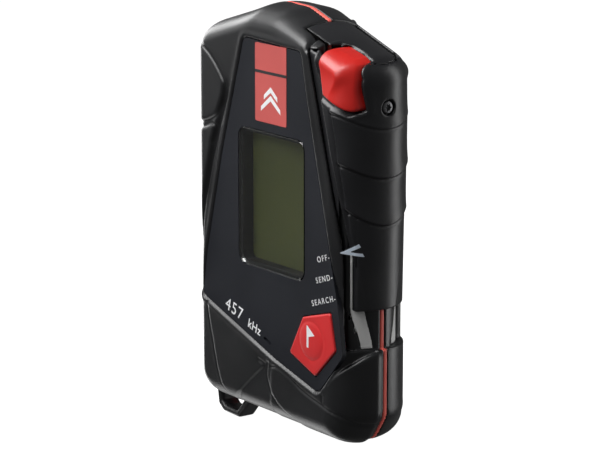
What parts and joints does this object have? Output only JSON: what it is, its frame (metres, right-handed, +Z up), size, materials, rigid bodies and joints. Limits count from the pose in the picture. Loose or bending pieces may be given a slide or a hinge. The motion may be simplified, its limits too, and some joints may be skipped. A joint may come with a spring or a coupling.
{
  "type": "avalanche transceiver",
  "caption": "Upright hand-held avalanche beacon with a sliding mode switch on its right edge, a marking button, a display window, a lanyard eye and a rear battery door.",
  "frame": {"origin": "centre of the flat back face, level with the middle of the body's height", "axes": "+Z up along the long side, +Y out of the back face, so the front with the display faces -Y, +X to the device's right seen from the front"},
  "size_m": [0.0699, 0.0256, 0.1143],
  "materials": {
    "shell_plastic": "satin moulded charcoal plastic with a fine grain",
    "slider_plastic": "satin moulded charcoal plastic, slightly smoother",
    "panel_plastic": "fine-grained bluish dark grey",
    "red_seal": "soft matte",
    "red_plastic": "satin",
    "red_label": "satin printed foil",
    "grey_track": "satin low-friction plastic",
    "window_glass": "clear hard-coated",
    "lcd_film": "olive display film",
    "white_diffuser": "translucent diffuser",
    "rubber_pad": "matte",
    "pcb_laminate": "solder mask",
    "chip_plastic": "moulded",
    "steel_parts": "plated steel",
    "ferrite": "sintered, matte",
    "copper_wire": "enamelled copper winding",
    "cell_sleeve": "printed sleeve"
  },
  "bodies": {
    "root": {"front_shell": "shell_plastic", "back_shell": "shell_plastic", "parting_seal": "red_seal", "slide_track": "grey_track", "lanyard_eye": "shell_plastic", "face_panel": "panel_plastic", "label_plate": "red_label", "display_window": "window_glass", "lcd_frame": "shell_plastic", "lcd_module": "lcd_film", "lcd_backlight": "white_diffuser", "button_gasket": "rubber_pad", "tact_switch": "steel_parts", "main_pcb": "pcb_laminate", "pcb_components": "chip_plastic", "reed_switches": "chip_plastic", "speaker": "chip_plastic", "speaker_mesh": "steel_parts", "antenna_long_core": "ferrite", "antenna_long_coil": "copper_wire", "antenna_cross_core": "ferrite", "antenna_cross_coil": "copper_wire", "antenna_depth_core": "ferrite", "antenna_depth_coil": "copper_wire", "battery_tray": "chip_plastic", "aa_cell": "cell_sleeve", "battery_spring": "steel_parts", "battery_contact": "steel_parts", "door_seal": "rubber_pad", "hinge_pin": "steel_parts", "case_screws": "steel_parts", "detent_ball": "steel_parts", "detent_spring": "steel_parts"},
    "mode_slider": {"mode_slider": "slider_plastic", "slider_magnet": "steel_parts", "slider_screw": "steel_parts"},
    "release_button": {"release_button": "red_plastic"},
    "mark_button": {"mark_button": "red_plastic"},
    "battery_door": {"battery_door": "shell_plastic"},
    "door_screw": {"door_screw": "steel_parts"}
  },
  "joints": [
    {"name": "mode_slide", "type": "slide", "parent": "root", "child": "mode_slider", "axis": [0, 0, -1], "range_m": [0, 0.01]},
    {"name": "release_press", "type": "slide", "parent": "mode_slider", "child": "release_button", "axis": [0, 1, 0], "range_m": [0, 0.0008], "stiffness_N_per_m": 300},
    {"name": "mark_press", "type": "slide", "parent": "root", "child": "mark_button", "axis": [0, 1, 0], "range_m": [0, 0.0007], "stiffness_N_per_m": 400},
    {"name": "door_swing", "type": "hinge", "parent": "root", "child": "battery_door", "pos_m": [-0.0225, -0.0016, 0.0386], "axis": [1, 0, 0], "range_deg": [0, 90]},
    {"name": "door_screw_turn", "type": "hinge", "parent": "battery_door", "child": "door_screw", "pos_m": [-0.0225, -0.0005, -0.0258], "axis": [0, 1, 0], "range_deg": [0, 90]}
  ]
}
